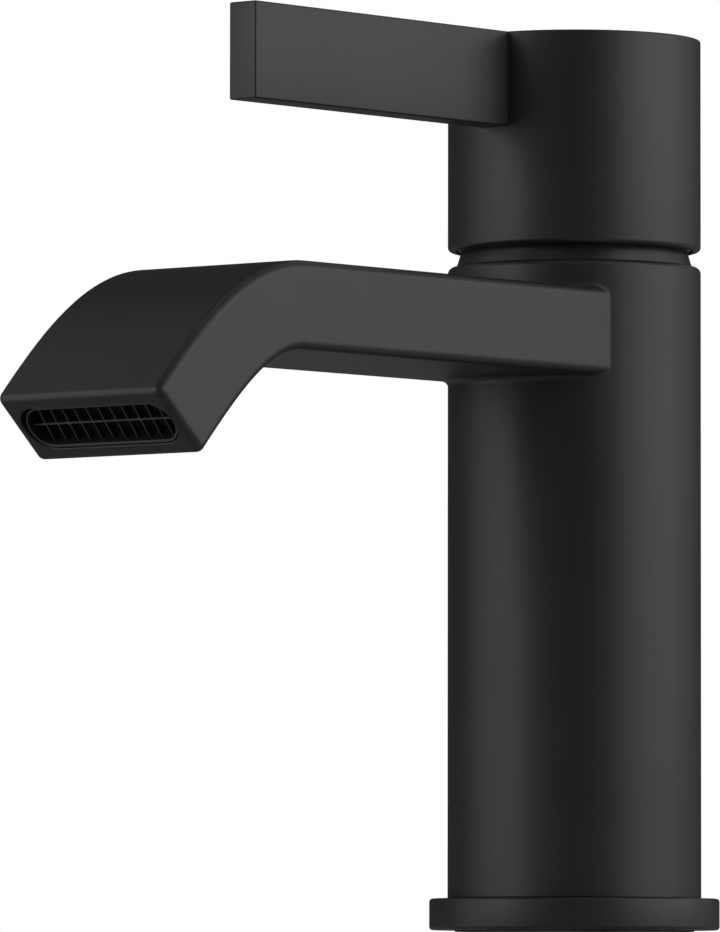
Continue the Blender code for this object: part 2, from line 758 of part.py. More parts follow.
def main():
    clear_scene()
    parts = collection("bathroom_mixer_faucet")
    cutters = collection("cutters", hidden=True)
    make_body(parts, cutters)
    make_base(parts)
    make_collar(parts)
    make_nut(parts, cutters)
    make_housing(parts)
    make_cartridge_base(parts, cutters)
    make_discs(parts, cutters)
    make_rotor(parts, cutters)
    make_limit_ring(parts, cutters)
    make_stem(parts, cutters)
    make_handle(parts, cutters)
    make_screw(parts, cutters)
    make_grille(parts, cutters)
    make_insert(parts)
    make_stud(parts, cutters)
    make_clamp(parts)
    make_joints(parts)


main()
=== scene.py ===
"""The looks of the matt black basin mixer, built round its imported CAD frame, in metres."""

import math

import bmesh
import bpy
from mathutils import Matrix, Vector


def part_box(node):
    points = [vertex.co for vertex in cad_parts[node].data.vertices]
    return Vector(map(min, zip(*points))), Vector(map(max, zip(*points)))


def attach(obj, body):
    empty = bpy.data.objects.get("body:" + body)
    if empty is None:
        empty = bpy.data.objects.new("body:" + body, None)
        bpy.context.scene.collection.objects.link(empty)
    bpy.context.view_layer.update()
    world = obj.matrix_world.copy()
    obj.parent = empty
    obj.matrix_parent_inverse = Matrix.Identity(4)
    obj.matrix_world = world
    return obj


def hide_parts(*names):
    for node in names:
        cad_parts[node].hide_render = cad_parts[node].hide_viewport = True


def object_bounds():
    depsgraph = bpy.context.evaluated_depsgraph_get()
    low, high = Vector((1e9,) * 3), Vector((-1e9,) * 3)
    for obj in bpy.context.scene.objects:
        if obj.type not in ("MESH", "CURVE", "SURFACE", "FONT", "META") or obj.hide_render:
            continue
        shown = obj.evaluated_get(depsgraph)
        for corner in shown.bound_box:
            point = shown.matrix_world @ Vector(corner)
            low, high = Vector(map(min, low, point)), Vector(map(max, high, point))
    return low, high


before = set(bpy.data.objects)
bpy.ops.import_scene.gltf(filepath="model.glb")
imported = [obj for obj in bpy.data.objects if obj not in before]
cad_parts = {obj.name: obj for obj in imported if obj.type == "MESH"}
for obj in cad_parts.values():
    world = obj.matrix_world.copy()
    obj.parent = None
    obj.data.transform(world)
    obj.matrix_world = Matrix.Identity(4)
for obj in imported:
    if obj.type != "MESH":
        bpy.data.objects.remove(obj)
CAD_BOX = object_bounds()

MM = 0.001
ROUND_STEPS = 240

# Column
BODY_EDGE = 1.1 * MM
BODY_EASE = 0.2 * MM
BORE_R = 18.6 * MM
BORE_FLOOR = 81.0 * MM
FOOT_R = 20.5 * MM
SEAT_R = 18.5 * MM
SEAT_STEP = 1.6 * MM
GASKET_R = 21.6 * MM
SEAM = 0.06 * MM

# Cover collar: a plate over the nut, a skirt in the bore, a cone with a lip inside the cap's rim
COLLAR_HOLE_R = 11.5 * MM
COLLAR_INNER_R = 15.9 * MM
COLLAR_SKIRT_R = 18.15 * MM
COLLAR_TOP_R = 18.4 * MM
COLLAR_NECK = (20.1 * MM, 120.9 * MM)
COLLAR_LIP = (20.75 * MM, 121.12 * MM)
COLLAR_PLATE = 1.8 * MM

# Spout: level run, bend and outlet face
SPOUT_START = 25.0 * MM
SPOUT_HALF_W = 18.4 * MM
SPOUT_TOP = 112.9 * MM
SPOUT_BOTTOM = 97.65 * MM
SPOUT_EDGE = 1.5 * MM
SPOUT_FILLET = 1.2 * MM
BEND_TOP = 94.1 * MM
BEND_BOTTOM = 94.8 * MM
PULL_TOP = (15.9 * MM, 15.9 * MM)
PULL_BOTTOM = (8.1 * MM, 16.0 * MM)
OUTLET_TOP = (-133.05 * MM, 88.9 * MM)
OUTLET_LENGTH = 15.45 * MM
OUTLET_TILT = math.radians(42.2)
SPOUT_DROP = math.radians(47.3)
POCKET = (16.75 * MM, 4.75 * MM)
POCKET_RISE = 0.1 * MM
SLOT_SHIFT = 0.25 * MM
POCKET_DEPTH = 11.0 * MM
POCKET_EDGE = 0.25 * MM
INSERT = (16.55 * MM, 4.25 * MM)
GRILLE_WALL = 0.6 * MM
GRILLE_CELLS = 12
GRILLE_DEPTH = 0.6 * MM
GRILLE_BACK = 3.0 * MM
GRILLE_DROP = 0.1 * MM
GRILLE_TILT = math.radians(7.5)
RIB_DEPTH = 1.1 * MM
LONG_RIB_W = 0.4 * MM
CROSS_RIB_W = 0.22 * MM
RIB_BACK_W = 0.42 * MM
KNOT_R = 0.42 * MM
KNOT_RIBS = (3, 9)

# Mesh steps: the spout's section, and the patch of the column's wall round its root
ACROSS = 70
UP = 12
CORNER = 8
LEVEL_STEPS = 9
BEND_STEPS = 44
LIP_STEPS = 8
PATCH_HALF_ANGLE = math.radians(60)
PATCH_RINGS = 9

# Handle
BLADE_HALF_T = 3.0 * MM
BLADE_BOTTOM = 141.65 * MM
BLADE_EDGE = 0.35 * MM
CAP_WALL_R = 19.4 * MM
CAP_RIM_R = 21.5 * MM
CAP_BEAD_R = 21.1 * MM
CAP_CEILING = 154.8 * MM
CAP_LOW_EDGE = 0.8 * MM
HUB_R = 7.2 * MM
HUB_BOTTOM = 128.8 * MM
SOCKET = 4.4 * MM
SOCKET_TOP = 143.8 * MM
SCREW_Z = 136.0 * MM
SCREW_R = 2.4 * MM
PLUG_R = 3.2 * MM
BOSS_HALF = 4.5 * MM

# Hose sockets and fixing
PORT = (7.5 * MM, -4.0 * MM, 4.5 * MM)
INLET = (4.9 * MM, -6.6 * MM, 2.2 * MM)
STUD_Y = 10.0 * MM
STUD_R = 4.0 * MM
THREAD_PITCH = 1.25 * MM
THREAD_DEPTH = 0.5 * MM
THREAD_AROUND = 40
CLAMP_SLOT = (12.5 * MM, -9.0 * MM)

# Camera: where it stands, where it looks, in degrees, and its lens
CAMERA_AZIMUTH = -51.14
CAMERA_DISTANCE = 1.7135
CAMERA_HEIGHT = -0.01435
CAMERA_YAW = 1.274
CAMERA_PITCH = 3.243
CAMERA_ROLL = 0.063
CAMERA_LENS = 372.8

# Lights: square soft panels as (name, degrees to the camera's right, degrees up, watts)
PANEL_SIZE = 0.72
PANEL_REACH = 1.3
PANEL_AIM = (0, -0.03, 0.08)
PANELS = (
    ("right_front", 60, 12, 2.9),
    ("right_side", 90, 12, 3.05),
    ("right_back", 120, 12, 0.85),
    ("right_front_high", 60, 42, 1.6),
    ("right_side_high", 90, 42, 0.5),
    ("right_back_high", 150, 42, 1.0),
    ("top", 0, 90, 1.0),
    ("left_front", -60, 12, 3.4),
    ("left_side", -90, 12, 1.2),
    ("left_side_high", -90, 42, 0.35),
    ("left_back_high", -120, 42, 0.5),
    ("front_left", -30, 12, 0.4),
    ("front_left_high", -30, 42, 0.35),
    ("front_right", 30, 12, 0.2),
)
LOW_PANEL_SIZE = (0.5, 0.25)
LOW_PANEL_REACH = 0.75
LOW_PANEL_Z = -0.055
FILL = 0.05


# ---------------------------------------------------------------- mesh helpers

def mesh_object(name, mesh):
    obj = bpy.data.objects.new(name, mesh)
    bpy.context.scene.collection.objects.link(obj)
    return obj


def finish_mesh(bm, name, sharp=32):
    """Welds, faces outward, smooth with hard edges where the surface really turns."""
    bmesh.ops.remove_doubles(bm, verts=bm.verts, dist=1e-7)
    bmesh.ops.recalc_face_normals(bm, faces=bm.faces)
    mesh = bpy.data.meshes.new(name)
    bm.to_mesh(mesh)
    bm.free()
    mesh.shade_smooth()
    mesh.set_sharp_from_angle(angle=math.radians(sharp))
    return mesh_object(name, mesh)


def arc(cx, cy, r, start, end, steps):
    """Points of a circular arc, angles in degrees."""
    step = (end - start) / steps
    angles = [math.radians(start + step * i) for i in range(steps + 1)]
    return [(cx + r * math.cos(a), cy + r * math.sin(a)) for a in angles]


def quarter(steps):
    """Angles from nought to a right angle."""
    return [math.pi / 2 * i / steps for i in range(steps + 1)]


def stitch(bm, rings):
    """Quads between rings of the same length."""
    for low, high in zip(rings, rings[1:]):
        for i in range(len(low)):
            j = (i + 1) % len(low)
            bm.faces.new((low[i], low[j], high[j], high[i]))


def turned_rings(bm, profile, steps, centre=(0.0, 0.0)):
    rings = []
    for r, z in profile:
        ring = []
        for i in range(steps):
            a = 2 * math.pi * i / steps
            spot = (centre[0] + r * math.sin(a), centre[1] - r * math.cos(a), z)
            ring.append(bm.verts.new(spot))
        rings.append(ring)
    return rings


def turned(name, profile, steps=ROUND_STEPS, centre=(0.0, 0.0), hollow=False, sharp=32):
    """A turned piece; a hollow one is a closed loop of (radius, height) points."""
    bm = bmesh.new()
    rings = turned_rings(bm, profile, steps, centre)
    stitch(bm, rings)
    if hollow:
        stitch(bm, [rings[-1], rings[0]])
    else:
        bm.faces.new(rings[0])
        bm.faces.new(rings[-1][::-1])
    return finish_mesh(bm, name, sharp)


def box(name, low, high):
    bm = bmesh.new()
    bmesh.ops.create_cube(bm, size=1.0)
    bmesh.ops.scale(bm, vec=[h - l for l, h in zip(low, high)], verts=bm.verts)
    bmesh.ops.translate(bm, vec=[(h + l) / 2 for l, h in zip(low, high)], verts=bm.verts)
    return finish_mesh(bm, name)


def rod(name, start, end, r, steps=48):
    a = Vector(start)
    b = Vector(end)
    bm = bmesh.new()
    bmesh.ops.create_cone(bm, cap_ends=True, segments=steps, radius1=r, radius2=r, depth=(b - a).length)
    place = Matrix.Translation((a + b) / 2) @ (b - a).to_track_quat("Z", "Y").to_matrix().to_4x4()
    bmesh.ops.transform(bm, matrix=place, verts=bm.verts)
    return finish_mesh(bm, name)


def bevelled(obj, width, segments=3, angle=40):
    made = obj.modifiers.new("edges", "BEVEL")
    made.width = width
    made.segments = segments
    made.limit_method = "ANGLE"
    made.angle_limit = math.radians(angle)
    return obj


def carved(obj, steps, sharp=32):
    """Joins or cuts obj with helpers in order, then keeps only the finished mesh."""
    for operation, other in steps:
        made = obj.modifiers.new(operation.lower(), "BOOLEAN")
        made.operation = operation
        made.solver = "EXACT"
        made.object = other
    graph = bpy.context.evaluated_depsgraph_get()
    graph.update()
    mesh = bpy.data.meshes.new_from_object(obj.evaluated_get(graph))
    name = obj.name
    for helper in [obj] + [other for _, other in steps]:
        if helper.name in bpy.data.objects:
            bpy.data.objects.remove(helper)
    bm = bmesh.new()
    bm.from_mesh(mesh)
    bpy.data.meshes.remove(mesh)
    done = finish_mesh(bm, name, sharp)
    done.name = name
    return done


def outline_plate(name, outlines, low, high, edge=0.0, segments=2):
    """A flat piece from 2D outlines: the first is its edge, the others are holes."""
    curve = bpy.data.curves.new(name, "CURVE")
    curve.dimensions = "2D"
    curve.fill_mode = "BOTH"
    curve.extrude = (high - low) / 2 - edge
    curve.bevel_depth = edge
    curve.bevel_resolution = segments
    curve.offset = -edge
    for outline in outlines:
        spline = curve.splines.new("POLY")
        spline.points.add(len(outline) - 1)
        for point, (x, y) in zip(spline.points, outline):
            point.co = (x, y, 0, 1)
        spline.use_cyclic_u = True
    maker = mesh_object(name + "_curve", curve)
    graph = bpy.context.evaluated_depsgraph_get()
    graph.update()
    mesh = bpy.data.meshes.new_from_object(maker.evaluated_get(graph))
    mesh.transform(Matrix.Translation((0, 0, (low + high) / 2)))
    bpy.data.objects.remove(maker)
    mesh.materials.clear()
    bm = bmesh.new()
    bm.from_mesh(mesh)
    bpy.data.meshes.remove(mesh)
    bmesh.ops.remove_doubles(bm, verts=bm.verts, dist=1e-6)
    return finish_mesh(bm, name)


def rounded(half_w, half_h, r, steps=8):
    """A rectangle with round corners, from its right side round."""
    points = []
    for sx, sy, start in ((1, 1, 0), (-1, 1, 90), (-1, -1, 180), (1, -1, 270)):
        points += arc(sx * (half_w - r), sy * (half_h - r), r, start, start + 90, steps)
    return points


def stadium(half, inset=0.0, steps=10):
    w = half[0] - inset
    h = half[1] - inset
    return rounded(w, h, h - 0.02 * MM, steps)


# ---------------------------------------------------------------- spout

def outlet_axes():
    """Down the outlet face, and out of it."""
    along = Vector((0, math.cos(OUTLET_TILT), -math.sin(OUTLET_TILT)))
    outward = Vector((0, -math.sin(OUTLET_TILT), -math.cos(OUTLET_TILT)))
    return along, outward


def outlet_middle():
    along, _ = outlet_axes()
    return Vector((0, *OUTLET_TOP)) + along * (OUTLET_LENGTH / 2)


def outlet_matrix():
    """Places a piece drawn flat, facing +Z, in the outlet face."""
    along, outward = outlet_axes()
    turn = Matrix((Vector((1, 0, 0)), -along, outward)).transposed().to_4x4()
    return Matrix.Translation(outlet_middle() + Vector((SLOT_SHIFT, 0, 0))) @ turn


def bend_point(start, end, pulls, t):
    """A point of one side of the bend: level at the start, dropping steeply at the outlet."""
    first = Vector((start[0] - pulls[0], start[1]))
    last = Vector((end[0] + pulls[1] * math.cos(SPOUT_DROP), end[1] + pulls[1] * math.sin(SPOUT_DROP)))
    s = 1 - t
    start = Vector(start)
    end = Vector(end)
    return s**3 * start + 3 * s * s * t * first + 3 * s * t * t * last + t**3 * end


def spout_stations():
    """(top, bottom) points in the Y-Z plane along the spout, from the column to the outlet's edge."""
    along, _ = outlet_axes()
    low_end = (OUTLET_TOP[0] + along.y * OUTLET_LENGTH, OUTLET_TOP[1] + along.z * OUTLET_LENGTH)
    stations = []
    for i in range(LEVEL_STEPS):
        k = i / LEVEL_STEPS
        top_y = SPOUT_START + (BEND_TOP - SPOUT_START) * k
        low_y = SPOUT_START + (BEND_BOTTOM - SPOUT_START) * k
        stations.append((Vector((-top_y, SPOUT_TOP)), Vector((-low_y, SPOUT_BOTTOM))))
    last = 1 - SPOUT_EDGE / (3 * PULL_TOP[1])
    for i in range(BEND_STEPS + 1):
        t = last * i / BEND_STEPS
        top = bend_point((-BEND_TOP, SPOUT_TOP), OUTLET_TOP, PULL_TOP, t)
        bottom = bend_point((-BEND_BOTTOM, SPOUT_BOTTOM), low_end, PULL_BOTTOM, t)
        stations.append((top, bottom))
    return stations


def side_fractions(count):
    """Even steps with a narrow one at each end, which keeps a flat side flat beside its rounded edges."""
    narrow = 0.012
    inner = [narrow + (1 - 2 * narrow) * i / (count - 2) for i in range(count - 1)]
    return [0.0] + inner


def section(half_w, half_h, r):
    """Points (x, s) and normals of a rounded rectangle, counter-clockwise from its right side's foot."""
    corners = ((1, 1), (-1, 1), (-1, -1), (1, -1))
    counts = (UP, ACROSS, UP, ACROSS)
    points = []
    for turn, ((cx, cy), count) in enumerate(zip(corners, counts)):
        facing = math.pi / 2 * turn
        normal = Vector((math.cos(facing), math.sin(facing)))
        before = corners[turn - 1]
        start = Vector((before[0] * (half_w - r), before[1] * (half_h - r))) + normal * r
        end = Vector((cx * (half_w - r), cy * (half_h - r))) + normal * r
        for k in side_fractions(count):
            points.append((*start.lerp(end, k), *normal))
        for i in range(CORNER):
            angle = facing + math.pi / 2 * i / CORNER
            c, s = math.cos(angle), math.sin(angle)
            points.append((cx * (half_w - r) + r * c, cy * (half_h - r) + r * s, c, s))
    return points


def station_ring(bm, top, bottom, inset=0.0, push=None):
    """One ring of the spout between a top and a bottom point of its side view."""
    half_h = (top - bottom).length / 2 - inset
    up = (top - bottom).normalized()
    middle = (top + bottom) / 2
    radius = max(SPOUT_EDGE - inset, 0.04 * MM)
    ring = []
    for x, s, _, _ in section(SPOUT_HALF_W - inset, half_h, radius):
        spot = Vector((x, middle.x + up.x * s, middle.y + up.y * s))
        ring.append(bm.verts.new(spot + push if push else spot))
    return ring


def fillet_rings(bm, radius, steps=7):
    """The cove between column and spout, from the column's surface to the spout's."""
    half_h = (SPOUT_TOP - SPOUT_BOTTOM) / 2
    mid = (SPOUT_TOP + SPOUT_BOTTOM) / 2
    rings = [[] for _ in range(steps + 1)]
    for x, s, nx, ns in section(SPOUT_HALF_W, half_h, SPOUT_EDGE):
        cx = x + nx * SPOUT_FILLET
        cz = mid + s + ns * SPOUT_FILLET
        cy = -math.sqrt((radius + SPOUT_FILLET) ** 2 - cx**2)
        centre = Vector((cx, cy, cz))
        to_column = Vector((-cx, -cy, 0)).normalized()
        to_spout = Vector((-nx, 0, -ns))
        for k in range(steps + 1):
            direction = to_column.slerp(to_spout, k / steps)
            rings[k].append(bm.verts.new(centre + direction * SPOUT_FILLET))
    return rings


def loop_edges(bm, ring):
    edges = []
    for i, vert in enumerate(ring):
        other = ring[(i + 1) % len(ring)]
        found = bm.edges.get((vert, other))
        edges.append(found or bm.edges.new((vert, other)))
    return edges


def fill_between(bm, outer, inner, normal):
    edges = loop_edges(bm, outer) + loop_edges(bm, inner)
    bmesh.ops.triangle_fill(bm, use_beauty=True, use_dissolve=False, edges=edges, normal=normal)


# ---------------------------------------------------------------- column

def wall_angles():
    """Angles of the column's mesh lines: those of the patch at the front first, then the rest."""
    inside = ACROSS + CORNER
    angles = [PATCH_HALF_ANGLE * (2 * i / inside - 1) for i in range(inside + 1)]
    rest = 2 * math.pi - 2 * PATCH_HALF_ANGLE
    outside = round(rest / (2 * math.pi) * ROUND_STEPS)
    angles += [PATCH_HALF_ANGLE + rest * i / outside for i in range(1, outside)]
    return angles


def wall_ring(bm, r, z, angles):
    return [bm.verts.new((r * math.sin(a), -r * math.cos(a), z)) for a in angles]


def column_rings(bm, patch_heights):
    """Rings from the foot up the wall, over the top edge and down the bore; and where the patch begins."""
    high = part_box("mixer_body")[1]
    radius = high.x
    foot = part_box("base_flange")[1].z + SEAM
    ease = BODY_EASE
    below = [(SEAT_R - ease, 0), (SEAT_R, ease), (SEAT_R, SEAT_STEP), (FOOT_R, SEAT_STEP)]
    below += [(FOOT_R, foot), (radius - ease / 2, foot), (radius, foot + ease / 2)]
    below += [(radius, foot + (patch_heights[0] - foot) * i / 4) for i in range(1, 4)]
    above = arc(radius - BODY_EDGE, high.z - BODY_EDGE, BODY_EDGE, 0, 90, 10)
    above += [(BORE_R + ease, high.z), (BORE_R, high.z - ease), (BORE_R, BORE_FLOOR)]
    profile = below + [(radius, z) for z in patch_heights] + above
    angles = wall_angles()
    return [wall_ring(bm, r, z, angles) for r, z in profile], len(below)


def stitch_column(bm, rings, first, rows):
    """Closes the column's skin, except the patch where the spout grows out; returns the patch's edge."""
    columns = ACROSS + CORNER
    for k, (lower, upper) in enumerate(zip(rings, rings[1:])):
        for i in range(len(lower)):
            if first <= k < first + rows and i < columns:
                continue
            j = (i + 1) % len(lower)
            bm.faces.new((lower[i], lower[j], upper[j], upper[i]))
    bm.faces.new(rings[0][::-1])
    bm.faces.new(rings[-1])
    edge = [rings[first + k][columns] for k in range(rows)]
    edge += [rings[first + rows][i] for i in range(columns, 0, -1)]
    edge += [rings[first + rows - k][0] for k in range(rows)]
    edge += [rings[first][i] for i in range(columns)]
    turn = CORNER // 2
    return edge[turn:] + edge[:turn]


def patch_rings(bm, cove, edge, radius):
    """Rings on the wall that pass from the cove's rounded outline to the patch's rectangle."""
    rings = [cove]
    for k in range(1, PATCH_RINGS):
        t = (k / PATCH_RINGS) ** 1.25
        ring = []
        for near, far in zip(cove, edge):
            a = (1 - t) * math.atan2(near.co.x, -near.co.y) + t * math.atan2(far.co.x, -far.co.y)
            z = (1 - t) * near.co.z + t * far.co.z
            ring.append(bm.verts.new((radius * math.sin(a), -radius * math.cos(a), z)))
        rings.append(ring)
    return rings + [edge]


def spout_rings(bm):
    """The spout's skin up to the rim of its outlet face."""
    rings = [station_ring(bm, top, bottom) for top, bottom in spout_stations()]
    _, outward = outlet_axes()
    end_top, end_bottom = spout_stations()[-1]
    for a in quarter(LIP_STEPS)[1:]:
        inset = SPOUT_EDGE * (1 - math.cos(a))
        rings.append(station_ring(bm, end_top, end_bottom, inset, outward * (SPOUT_EDGE * math.sin(a))))
    return rings


def body_shell():
    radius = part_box("mixer_body")[1].x
    rows = UP + CORNER
    low = SPOUT_BOTTOM - SPOUT_FILLET - 2.2 * MM
    high = SPOUT_TOP + SPOUT_FILLET + 1.4 * MM
    heights = [low + (high - low) * i / rows for i in range(rows + 1)]
    bm = bmesh.new()
    rings, first = column_rings(bm, heights)
    edge = stitch_column(bm, rings, first, rows)
    coves = fillet_rings(bm, radius)
    spout = spout_rings(bm)
    stitch(bm, patch_rings(bm, coves[0], edge, radius)[::-1])
    stitch(bm, coves + spout)
    pocket(bm, spout[-1])
    for vert in [v for v in bm.verts if not v.link_faces]:
        bm.verts.remove(vert)
    shell = finish_mesh(bm, "faucet_body_shell", 40)
    return carved(shell, socket_cutters(), 40)


def pocket(bm, rim):
    """The slot in the outlet face, with a softened edge."""
    place = outlet_matrix()
    profile = [(POCKET_EDGE * (math.sin(a) - 1), POCKET_EDGE * (math.cos(a) - 1)) for a in quarter(6)]
    rings = []
    for inset, depth in profile + [(0.0, -POCKET_DEPTH)]:
        outline = stadium(POCKET, inset, 20)
        rings.append([bm.verts.new(place @ Vector((x, y + POCKET_RISE, depth))) for x, y in outline])
    fill_between(bm, rim, rings[0], outlet_axes()[1])
    stitch(bm, rings)
    bm.faces.new(rings[-1])


def socket_cutters():
    """Hose sockets, their feeds and the stud's hole, cut into the underside."""
    cutters = []
    for side in (-1, 1):
        x = side * PORT[0]
        port = rod("port", (x, PORT[1], -2 * MM), (x, PORT[1], 16 * MM), PORT[2], 64)
        start = (x * 0.93, PORT[1] - 0.2 * MM, 13 * MM)
        feed = rod("feed", start, (side * INLET[0], INLET[1], BORE_FLOOR + MM), INLET[2], 32)
        cutters += [("DIFFERENCE", port), ("DIFFERENCE", feed)]
    hole = rod("stud_hole", (0, STUD_Y, -2 * MM), (0, STUD_Y, 12 * MM), STUD_R + 0.35 * MM, 64)
    return cutters + [("DIFFERENCE", hole)]


# ---------------------------------------------------------------- handle

def cap_profile(low, high, radius):
    edge = BLADE_EDGE
    points = [(1.0 * MM, high)]
    points += arc(radius - edge, high - edge, edge, 90, 0, 5)
    points += arc(radius - CAP_LOW_EDGE, low + CAP_LOW_EDGE, CAP_LOW_EDGE, 0, -90, 8)
    points += [(CAP_BEAD_R, low), (CAP_BEAD_R, low + 0.3 * MM), (CAP_RIM_R, low + 0.7 * MM)]
    points += [(CAP_RIM_R, low + 4.1 * MM), (CAP_WALL_R, low + 9.1 * MM)]
    points += [(CAP_WALL_R, CAP_CEILING), (1.0 * MM, CAP_CEILING)]
    return points


def handle_shell():
    low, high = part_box("handle")
    radius = high.x
    cap = turned("handle_shell", cap_profile(low.z, high.z, radius))
    blade = box("blade", (-BLADE_HALF_T, low.y, BLADE_BOTTOM), (BLADE_HALF_T, -radius + 1.5 * MM, high.z))
    bevelled(blade, BLADE_EDGE, 4)
    hub = turned("hub", [(HUB_R, CAP_CEILING + MM), (HUB_R, HUB_BOTTOM)], 96)
    boss_low = (-BOSS_HALF, 5 * MM, SCREW_Z - BOSS_HALF)
    boss = box("boss", boss_low, (BOSS_HALF, CAP_WALL_R + MM, SCREW_Z + BOSS_HALF))
    socket = box("socket", (-SOCKET, -SOCKET, HUB_BOTTOM - 2 * MM), (SOCKET, SOCKET, SOCKET_TOP))
    behind = (0, 30 * MM, SCREW_Z)
    thread = rod("thread", (0, 2 * MM, SCREW_Z), behind, SCREW_R)
    access = rod("access", (0, 14 * MM, SCREW_Z), behind, PLUG_R, 64)
    steps = [("UNION", blade), ("UNION", hub), ("UNION", boss)]
    steps += [("DIFFERENCE", socket), ("DIFFERENCE", thread), ("DIFFERENCE", access)]
    return carved(cap, steps)


def screw_cover():
    """A small dished plug that hides the set screw."""
    low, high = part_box("screw_plug")
    r = (high.x - low.x) / 2
    edge = 0.3 * MM
    depth = high.y - low.y
    profile = [(0.2 * MM, -0.35 * MM), (r * 0.55, -0.25 * MM), (r * 0.8, 0)]
    profile += arc(r - edge, -edge, edge, 90, 0, 4) + [(r, -depth), (0.2 * MM, -depth)]
    plug = turned("handle_screw_cover", profile, 96)
    turn = Matrix.Rotation(math.radians(-90), 4, "X")
    spot = Vector((0, high.y, (low.z + high.z) / 2))
    plug.data.transform(Matrix.Translation(spot) @ turn)
    return plug


# ---------------------------------------------------------------- rings

def flange_ring():
    low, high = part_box("base_flange")
    r = high.x
    edge = 0.6 * MM
    inner = FOOT_R + 0.3 * MM
    profile = [(inner, high.z - 0.15 * MM), (inner + 0.15 * MM, high.z)]
    profile += arc(r - edge, high.z - edge, edge, 90, 0, 6)
    profile += arc(r - edge, low.z + edge, edge, 0, -90, 6)
    profile += [(GASKET_R, low.z), (GASKET_R, SEAT_STEP), (inner, SEAT_STEP)]
    return turned("base_flange_ring", profile, hollow=True)


def gasket_ring():
    low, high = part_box("base_gasket")
    edge = 0.25 * MM
    inner = SEAT_R + 0.3 * MM
    profile = arc(high.x - edge, high.z - edge, edge, 90, 0, 3)
    profile += arc(high.x - edge, low.z + edge, edge, 0, -90, 3)
    profile += [(inner, low.z), (inner, high.z)]
    return turned("base_gasket_ring", profile, hollow=True)


def collar_ring():
    """The cover ring: a cone that rises out of a fine seam on the column's top."""
    low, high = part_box("cover_collar")
    top = high.z
    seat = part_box("mixer_body")[1].z + SEAM
    rim = high.x
    neck_r, neck_z = COLLAR_NECK
    lip_r, lip_z = COLLAR_LIP
    ease = 0.15 * MM
    slope = (rim - neck_r) / (neck_z - seat)
    under = top - COLLAR_PLATE
    profile = [(COLLAR_HOLE_R, top), (COLLAR_TOP_R - 0.5 * MM, top)]
    profile += [(COLLAR_TOP_R - 0.2 * MM, top - 0.1 * MM), (COLLAR_TOP_R, top - 0.3 * MM)]
    profile += [(19.8 * MM, 121.45 * MM), (lip_r - 0.05 * MM, lip_z + 0.08 * MM), (lip_r, lip_z)]
    profile += [(neck_r, neck_z), (rim - slope * ease, seat + ease), (rim, seat)]
    profile += [(COLLAR_SKIRT_R, seat), (COLLAR_SKIRT_R, low.z), (COLLAR_INNER_R, low.z)]
    profile += [(COLLAR_INNER_R, under), (COLLAR_HOLE_R, under)]
    return turned("cover_collar_ring", profile, hollow=True)


# ---------------------------------------------------------------- outlet

def rib(start, end, low, high, front, back):
    """A bar across the slot that narrows towards the outside."""
    a = Vector(start)
    b = Vector(end)
    side = Vector((-(b - a).y, (b - a).x)).normalized()
    round_off = 0.06 * MM
    bm = bmesh.new()
    ends = []
    for spot in (a, b):
        right = [(back, low), (front, high - round_off), (front - round_off, high)]
        corners = [(spot + side * width / 2, z) for width, z in right]
        corners += [(spot - side * width / 2, z) for width, z in reversed(right)]
        ends.append([bm.verts.new((*flat, z)) for flat, z in corners])
    stitch(bm, ends)
    bm.faces.new(ends[0])
    bm.faces.new(ends[1][::-1])
    return finish_mesh(bm, "rib")


def grille_ribs(low, face):
    """The long rib, the cross ribs and the two moulding knots where some of them meet."""
    reach = INSERT[0] - GRILLE_WALL / 2
    back_w = RIB_BACK_W + 0.08 * MM
    pieces = [rib((-reach, 0), (reach, 0), low + 0.1 * MM, face, LONG_RIB_W, back_w)]
    for i in range(1, GRILLE_CELLS):
        x = (INSERT[0] - GRILLE_WALL) * (2 * i / GRILLE_CELLS - 1)
        over = max(abs(x) - (INSERT[0] - INSERT[1]), 0.0)
        half = math.sqrt((INSERT[1] - GRILLE_WALL / 2) ** 2 - over**2)
        bar = rib((x, -half), (x, half), low + 0.2 * MM, face - 0.05 * MM, CROSS_RIB_W, RIB_BACK_W)
        pieces.append(bar)
        if i in KNOT_RIBS:
            spot = (x, 0.05 * MM)
            pieces.append(rod("knot", (*spot, low + 0.3 * MM), (*spot, face + 0.06 * MM), KNOT_R, 16))
    return pieces


def grille():
    """A frame with one long rib and tapered cross ribs set back in it, leaning back at its top."""
    high = -GRILLE_DEPTH
    low = -GRILLE_BACK
    rims = [stadium(INSERT, 0.0, 20), stadium(INSERT, GRILLE_WALL, 20)]
    frame_part = outline_plate("outlet_grille_frame", rims, low, high, 0.24 * MM, 4)
    ribs = grille_ribs(low, high - RIB_DEPTH)
    made = carved(frame_part, [("UNION", piece) for piece in ribs])
    lean = Matrix.Translation((0, -GRILLE_DROP, 0)) @ Matrix.Rotation(-GRILLE_TILT, 4, "X")
    made.data.transform(outlet_matrix() @ lean)
    return made


# ---------------------------------------------------------------- fixing kit

def thread_radius(z, turn, end):
    """Radius of the thread at height z and a share of a turn; end is how far the stud's nearer end is."""
    phase = (z / THREAD_PITCH - turn) % 1.0
    cut = THREAD_DEPTH * min(1.0, max(0.0, abs(phase - 0.5) * 2.6 - 0.15))
    chamfer = max(0.0, 0.8 * MM - end)
    return min(STUD_R - cut, STUD_R - chamfer)


